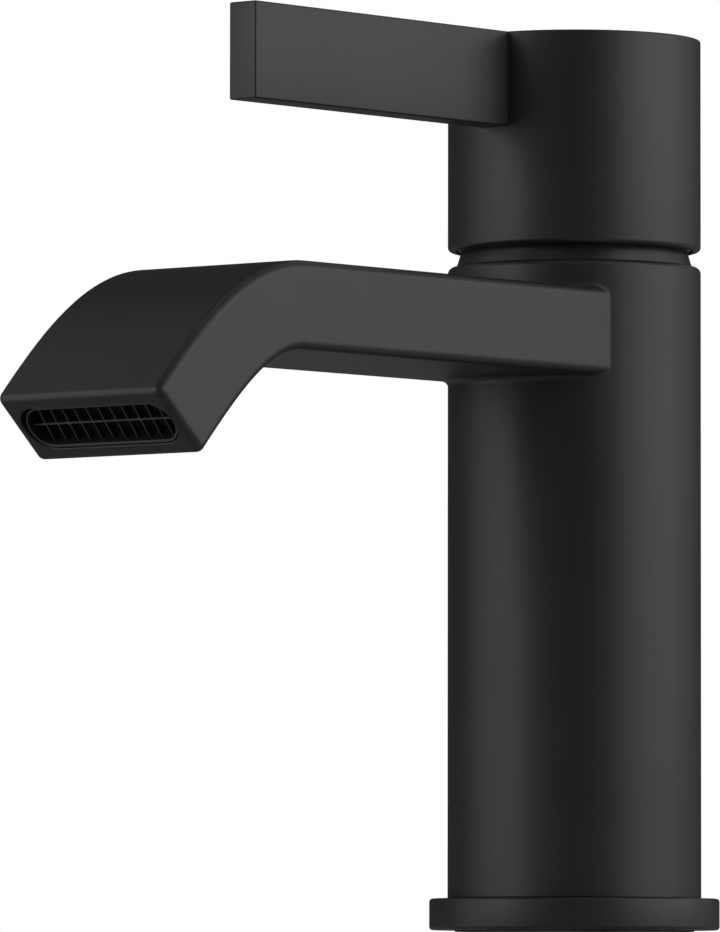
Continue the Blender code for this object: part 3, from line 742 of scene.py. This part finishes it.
def threaded_stud():
    low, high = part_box("fixing_stud")
    length = high.z - low.z
    rows = int(length / THREAD_PITCH * 10)
    bm = bmesh.new()
    rings = []
    for k in range(rows + 1):
        z = low.z + length * k / rows
        end = min(z - low.z, high.z - z)
        ring = []
        for i in range(THREAD_AROUND):
            r = thread_radius(z, i / THREAD_AROUND, end)
            a = 2 * math.pi * i / THREAD_AROUND
            ring.append(bm.verts.new((r * math.cos(a), STUD_Y + r * math.sin(a), z)))
        rings.append(ring)
    stitch(bm, rings)
    bm.faces.new(rings[0][::-1])
    bm.faces.new(rings[-1])
    stud = finish_mesh(bm, "fixing_stud_threaded", 60)
    half_w = 0.6 * MM
    slot_high = (6 * MM, STUD_Y + half_w, low.z + 1.8 * MM)
    slot = box("slot", (-6 * MM, STUD_Y - half_w, low.z - 2 * MM), slot_high)
    return carved(stud, [("DIFFERENCE", slot)], 60)


def hex_nut():
    low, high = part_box("clamp_nut")
    r = (high.x - low.x) / 2
    height = high.z - low.z
    hexagon = arc(0, STUD_Y, r, 0, 360, 6)[:-1]
    hole = arc(0, STUD_Y, STUD_R + 0.3 * MM, 0, 360, 48)[:-1]
    nut = outline_plate("clamp_nut_hex", [hexagon, hole], low.z, high.z)
    flat = r * math.cos(math.pi / 6)
    drop = 0.5 * MM
    cone = [(flat * 0.97, high.z + 0.01 * MM), (r * 1.02, high.z - drop), (r * 1.02, low.z + drop)]
    cone += [(flat * 0.97, low.z - 0.01 * MM)]
    barrel = turned("barrel", cone, 96, (0, STUD_Y))
    return carved(nut, [("INTERSECT", barrel)])


def horseshoe(r, half_slot, centre_y):
    """A disc's outline with a round-ended slot from its front edge."""
    meet = math.degrees(math.asin(half_slot / r))
    outer = arc(0, 0, r, -90 + meet, 270 - meet, 72)
    inner = arc(0, centre_y, half_slot, 180, 0, 36)
    return outer + inner


def clamp_pad(node, name, edge):
    low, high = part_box(node)
    r = high.y
    hole = arc(0, STUD_Y, STUD_R + 0.4 * MM, 0, 360, 48)[:-1]
    return outline_plate(name, [horseshoe(r, *CLAMP_SLOT), hole], low.z, high.z, edge)


# ---------------------------------------------------------------- materials

def material(name):
    made = bpy.data.materials.new(name)
    made.use_nodes = True
    tree = made.node_tree
    return made, tree, tree.nodes["Principled BSDF"]


def shader_node(tree, kind, **values):
    made = tree.nodes.new(kind)
    for key, value in values.items():
        if key in made.inputs:
            made.inputs[key].default_value = value
        else:
            setattr(made, key, value)
    return made


def place(tree):
    return tree.nodes.new("ShaderNodeTexCoord").outputs["Object"]


def noise(tree, scale, detail=2.0, roughness=0.5):
    made = shader_node(tree, "ShaderNodeTexNoise", Scale=scale, Detail=detail, Roughness=roughness)
    tree.links.new(place(tree), made.inputs["Vector"])
    return made.outputs["Fac"]


def spread(tree, source, low, high, from_low=0.3, from_high=0.7):
    made = shader_node(tree, "ShaderNodeMapRange")
    made.inputs["From Min"].default_value = from_low
    made.inputs["From Max"].default_value = from_high
    made.inputs["To Min"].default_value = low
    made.inputs["To Max"].default_value = high
    tree.links.new(source, made.inputs["Value"])
    return made.outputs["Result"]


def two_tone(tree, source, dark, light, from_low=0.3, from_high=0.7):
    ramp = tree.nodes.new("ShaderNodeValToRGB")
    ramp.color_ramp.elements[0].position = from_low
    ramp.color_ramp.elements[0].color = (*dark, 1)
    ramp.color_ramp.elements[1].position = from_high
    ramp.color_ramp.elements[1].color = (*light, 1)
    tree.links.new(source, ramp.inputs["Fac"])
    return ramp.outputs["Color"]


def bump(tree, shader, layers):
    """Stacks bumps from coarse to fine: (height, strength, distance)."""
    normal = None
    for height, strength, distance in layers:
        made = shader_node(tree, "ShaderNodeBump", Strength=strength, Distance=distance)
        tree.links.new(height, made.inputs["Height"])
        if normal:
            tree.links.new(normal, made.inputs["Normal"])
        normal = made.outputs["Normal"]
    tree.links.new(normal, shader.inputs["Normal"])


def powder_coat(name, dark=(0.0125, 0.0125, 0.013), light=(0.0165, 0.0165, 0.017), rough=(0.4, 0.47)):
    """Fine matt powder coat: close grain, faint peel, slightly uneven sheen."""
    made, tree, shader = material(name)
    cloud = noise(tree, 60.0, 3.0)
    grain = noise(tree, 3200.0, 3.0, 0.6)
    peel = noise(tree, 420.0, 2.0)
    tree.links.new(two_tone(tree, cloud, dark, light), shader.inputs["Base Color"])
    tree.links.new(spread(tree, grain, *rough), shader.inputs["Roughness"])
    shader.inputs["Specular IOR Level"].default_value = 0.5
    bump(tree, shader, [(peel, 0.05, 0.0002), (grain, 0.12, 0.00006)])
    return made


def moulded(name, dark, light, rough=(0.35, 0.5), grain_size=1500.0):
    made, tree, shader = material(name)
    cloud = noise(tree, 140.0, 3.0)
    grain = noise(tree, grain_size, 2.0)
    tree.links.new(two_tone(tree, cloud, dark, light), shader.inputs["Base Color"])
    tree.links.new(spread(tree, grain, *rough), shader.inputs["Roughness"])
    bump(tree, shader, [(grain, 0.1, 0.00005)])
    return made


def grille_plastic_painted_light(name):
    """Black plastic with painted light: paler colour on the faces that look out (painted highlight),
    darker colour on the cell walls (painted shade), and a higher specular level on the out-facing faces.
    """
    made, tree, shader = material(name)
    coords = tree.nodes.new("ShaderNodeTexCoord")
    facing = shader_node(tree, "ShaderNodeVectorMath", operation="DOT_PRODUCT")
    facing.inputs[1].default_value = outlet_axes()[1]
    tree.links.new(coords.outputs["Normal"], facing.inputs[0])
    grain = noise(tree, 1500.0, 2.0)
    outward = facing.outputs["Value"]
    # Painted highlight and shade: faces that look out of the slot get a paler colour, the cell walls a
    # darker one.
    tone = two_tone(tree, outward, (0.013, 0.013, 0.015), (0.04, 0.041, 0.05), 0.88, 0.99)
    tree.links.new(tone, shader.inputs["Base Color"])
    gloss = spread(tree, outward, 0.4, 0.75, 0.88, 0.99)
    tree.links.new(gloss, shader.inputs["Specular IOR Level"])
    tree.links.new(spread(tree, grain, 0.3, 0.4), shader.inputs["Roughness"])
    bump(tree, shader, [(grain, 0.1, 0.00005)])
    return made


def rubber(name):
    made, tree, shader = material(name)
    cloud = noise(tree, 200.0, 4.0)
    grain = noise(tree, 2400.0, 3.0)
    tone = two_tone(tree, cloud, (0.012, 0.012, 0.012), (0.022, 0.021, 0.02))
    tree.links.new(tone, shader.inputs["Base Color"])
    tree.links.new(spread(tree, grain, 0.62, 0.82), shader.inputs["Roughness"])
    bump(tree, shader, [(cloud, 0.08, 0.0001), (grain, 0.2, 0.00006)])
    return made


def plated(name, dark, light, rough=(0.22, 0.42)):
    """Plated or turned metal with fine rings round the vertical axis and faint stains."""
    made, tree, shader = material(name)
    shader.inputs["Metallic"].default_value = 1.0
    stain = noise(tree, 260.0, 5.0, 0.6)
    stretch = shader_node(tree, "ShaderNodeMapping")
    stretch.inputs["Scale"].default_value = (1.0, 1.0, 26.0)
    tree.links.new(place(tree), stretch.inputs["Vector"])
    rings = shader_node(tree, "ShaderNodeTexNoise", Scale=320.0, Detail=3.0)
    tree.links.new(stretch.outputs["Vector"], rings.inputs["Vector"])
    tree.links.new(two_tone(tree, stain, dark, light), shader.inputs["Base Color"])
    tree.links.new(spread(tree, rings.outputs["Fac"], *rough), shader.inputs["Roughness"])
    bump(tree, shader, [(rings.outputs["Fac"], 0.12, 0.00004)])
    return made


def make_materials():
    return {
        "body": powder_coat("body_powder_coat"),
        "handle": powder_coat("handle_powder_coat", (0.0142, 0.0142, 0.0147), (0.0182, 0.0182, 0.0187)),
        "flange": powder_coat("flange_powder_coat"),
        "collar": powder_coat("collar_satin_coat", rough=(0.34, 0.4)),
        "grille": grille_plastic_painted_light("grille_plastic_painted_light"),
        # The insert's near-black colour is partly its own black plastic and partly painted shade, so the
        # cells behind the grille read black.
        "insert": moulded("insert_plastic", (0.002, 0.002, 0.0024), (0.004, 0.004, 0.0045), (0.8, 0.95)),
        "plug": moulded("plug_plastic", (0.016, 0.016, 0.017), (0.022, 0.022, 0.023), (0.4, 0.5)),
        "acetal": moulded("white_acetal_plastic", (0.72, 0.72, 0.69), (0.8, 0.8, 0.77)),
        "nylon": moulded("grey_nylon_plastic", (0.1, 0.105, 0.11), (0.14, 0.145, 0.15)),
        "red": moulded("red_ring_plastic", (0.42, 0.03, 0.025), (0.52, 0.05, 0.04)),
        "ceramic": moulded("lapped_ceramic", (0.78, 0.77, 0.73), (0.85, 0.84, 0.81), (0.12, 0.22), 900.0),
        "rubber": rubber("moulded_rubber"),
        "brass": plated("turned_brass_metal", (0.62, 0.42, 0.17), (0.75, 0.54, 0.26)),
        "zinc": plated("zinc_plated_metal", (0.5, 0.5, 0.49), (0.66, 0.66, 0.65)),
        "steel": plated("ground_steel_metal", (0.55, 0.55, 0.56), (0.68, 0.68, 0.69), (0.18, 0.3)),
    }


# ---------------------------------------------------------------- assembly

def add(piece, mat, body, slot, *nodes):
    piece.data.materials.clear()
    piece.data.materials.append(mat)
    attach(piece, body)
    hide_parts(*nodes)


def dress_cad_nodes(mats):
    """The hidden inner pieces keep their CAD shape and get a finished material."""
    finish = {
        "cartridge_nut": "brass",
        "cartridge_housing": "nylon",
        "housing_seal": "rubber",
        "cartridge_base": "acetal",
        "base_seal_hot": "rubber",
        "base_seal_cold": "rubber",
        "disc_seal": "rubber",
        "fixed_disc": "ceramic",
        "moving_disc": "ceramic",
        "disc_carrier": "acetal",
        "cartridge_rotor": "nylon",
        "limit_ring": "red",
        "pivot_pin": "steel",
        "lever_stem": "brass",
        "handle_set_screw": "steel",
        "outlet_insert": "insert",
        "flow_plate": "insert",
        "outlet_seal": "rubber",
    }
    for name, mat in finish.items():
        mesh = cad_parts[name].data
        mesh.materials.clear()
        mesh.materials.append(mats[mat])


def build_object(mats):
    add(body_shell(), mats["body"], "faucet_body", "matte_black_coat", "mixer_body")
    add(flange_ring(), mats["flange"], "faucet_body", "flange_black_coat", "base_flange")
    add(gasket_ring(), mats["rubber"], "faucet_body", "black_rubber", "base_gasket")
    add(collar_ring(), mats["collar"], "faucet_body", "collar_black_coat", "cover_collar")
    add(grille(), mats["grille"], "faucet_body", "dark_grille_plastic", "outlet_grille")
    add(threaded_stud(), mats["zinc"], "faucet_body", "zinc_plated_steel", "fixing_stud")
    add(handle_shell(), mats["handle"], "lever", "handle_black_coat", "handle")
    add(screw_cover(), mats["plug"], "lever", "black_insert_plastic", "screw_plug")
    washer = clamp_pad("clamp_washer", "clamp_washer_pad", 0.4 * MM)
    add(washer, mats["rubber"], "clamp", "black_rubber", "clamp_washer")
    plate = clamp_pad("clamp_plate", "clamp_horseshoe", 0.25 * MM)
    add(plate, mats["zinc"], "clamp", "zinc_plated_steel", "clamp_plate")
    add(hex_nut(), mats["brass"], "clamp", "turned_brass", "clamp_nut")
    dress_cad_nodes(mats)


# ---------------------------------------------------------------- stage, light and camera

def floor_material():
    """Pale matt floor with a painted glow that only the camera sees, weaker near the object and stronger
    away from it, so the floor fades to white.
    """
    made, tree, shader = material("pale_floor_painted_glow")
    tone = noise(tree, 1.5, 2.0)
    tree.links.new(two_tone(tree, tone, (0.5, 0.5, 0.5), (0.54, 0.54, 0.54)), shader.inputs["Base Color"])
    shader.inputs["Roughness"].default_value = 0.8
    shader.inputs["Specular IOR Level"].default_value = 0.2
    # Painted glow: a camera-only emission, weaker near the object and stronger away from it.
    shader.inputs["Emission Color"].default_value = (1, 1, 1, 1)
    path = tree.nodes.new("ShaderNodeLightPath")
    reach = shader_node(tree, "ShaderNodeVectorMath", operation="LENGTH")
    tree.links.new(place(tree), reach.inputs[0])
    shown = shader_node(tree, "ShaderNodeMath", operation="MULTIPLY")
    tree.links.new(path.outputs["Is Camera Ray"], shown.inputs[0])
    tree.links.new(spread(tree, reach.outputs["Value"], 0.45, 1.0, 0.5, 2.5), shown.inputs[1])
    tree.links.new(shown.outputs["Value"], shader.inputs["Emission Strength"])
    return made


def make_floor():
    low = CAD_BOX[0]
    bm = bmesh.new()
    bmesh.ops.create_grid(bm, x_segments=8, y_segments=8, size=6.0)
    floor = finish_mesh(bm, "studio_floor")
    floor.location = (0, 0, low[2] - 0.0005)
    floor.data.materials.append(floor_material())


def area_light(name, shape, power):
    light = bpy.data.lights.new(name, "AREA")
    light.shape = shape
    light.energy = power
    obj = mesh_object(name, light)
    obj.visible_camera = False
    return obj


def softbox(name, azimuth, elevation, power):
    """A soft panel that faces the faucet; azimuth is from the camera's side, to its right, in degrees."""
    obj = area_light(name, "SQUARE", power)
    obj.data.size = PANEL_SIZE
    a = math.radians(CAMERA_AZIMUTH + azimuth)
    e = math.radians(elevation)
    away = Vector((math.cos(a) * math.cos(e), math.sin(a) * math.cos(e), math.sin(e)))
    obj.location = Vector(PANEL_AIM) + away * PANEL_REACH
    obj.rotation_euler = (-away).to_track_quat("-Z", "Y").to_euler()


def low_panel(name, azimuth, power):
    """A panel that lies beside the faucet and lights it from below."""
    obj = area_light(name, "RECTANGLE", power)
    obj.data.size, obj.data.size_y = LOW_PANEL_SIZE
    a = math.radians(CAMERA_AZIMUTH + azimuth)
    obj.location = (LOW_PANEL_REACH * math.cos(a), LOW_PANEL_REACH * math.sin(a), LOW_PANEL_Z)
    obj.rotation_euler = (math.pi, 0, 0)


def make_world():
    """White behind the object, and a faint even fill from all round it."""
    world = bpy.data.worlds.new("studio")
    bpy.context.scene.world = world
    world.use_nodes = True
    tree = world.node_tree
    shown = tree.nodes["Background"]
    shown.inputs["Color"].default_value = (1, 1, 1, 1)
    shown.inputs["Strength"].default_value = 1.0
    fill = shader_node(tree, "ShaderNodeBackground")
    fill.inputs["Color"].default_value = (1, 1, 1, 1)
    fill.inputs["Strength"].default_value = FILL
    path = tree.nodes.new("ShaderNodeLightPath")
    mix = tree.nodes.new("ShaderNodeMixShader")
    tree.links.new(path.outputs["Is Camera Ray"], mix.inputs["Fac"])
    tree.links.new(fill.outputs["Background"], mix.inputs[1])
    tree.links.new(shown.outputs["Background"], mix.inputs[2])
    tree.links.new(mix.outputs["Shader"], tree.nodes["World Output"].inputs["Surface"])


def make_lights():
    for panel in PANELS:
        softbox(*panel)
    low_panel("low_left_side", -90, 1.2)


def make_camera():
    data = bpy.data.cameras.new("studio_camera")
    data.sensor_width = 36.0
    data.lens = CAMERA_LENS
    camera = mesh_object("studio_camera", data)
    a = math.radians(CAMERA_AZIMUTH)
    spot = Vector((CAMERA_DISTANCE * math.cos(a), CAMERA_DISTANCE * math.sin(a), CAMERA_HEIGHT))
    heading = a + math.pi + math.radians(CAMERA_YAW)
    pitch = math.radians(CAMERA_PITCH)
    level = math.cos(pitch)
    aim = Vector((math.cos(heading) * level, math.sin(heading) * level, math.sin(pitch)))
    turn = aim.to_track_quat("-Z", "Y").to_matrix().to_4x4()
    roll = Matrix.Rotation(math.radians(CAMERA_ROLL), 4, "Z")
    camera.matrix_world = Matrix.Translation(spot) @ turn @ roll
    bpy.context.scene.camera = camera


def main():
    bpy.context.scene.view_settings.view_transform = "Standard"
    make_camera()
    build_object(make_materials())
    make_floor()
    make_world()
    make_lights()


main()
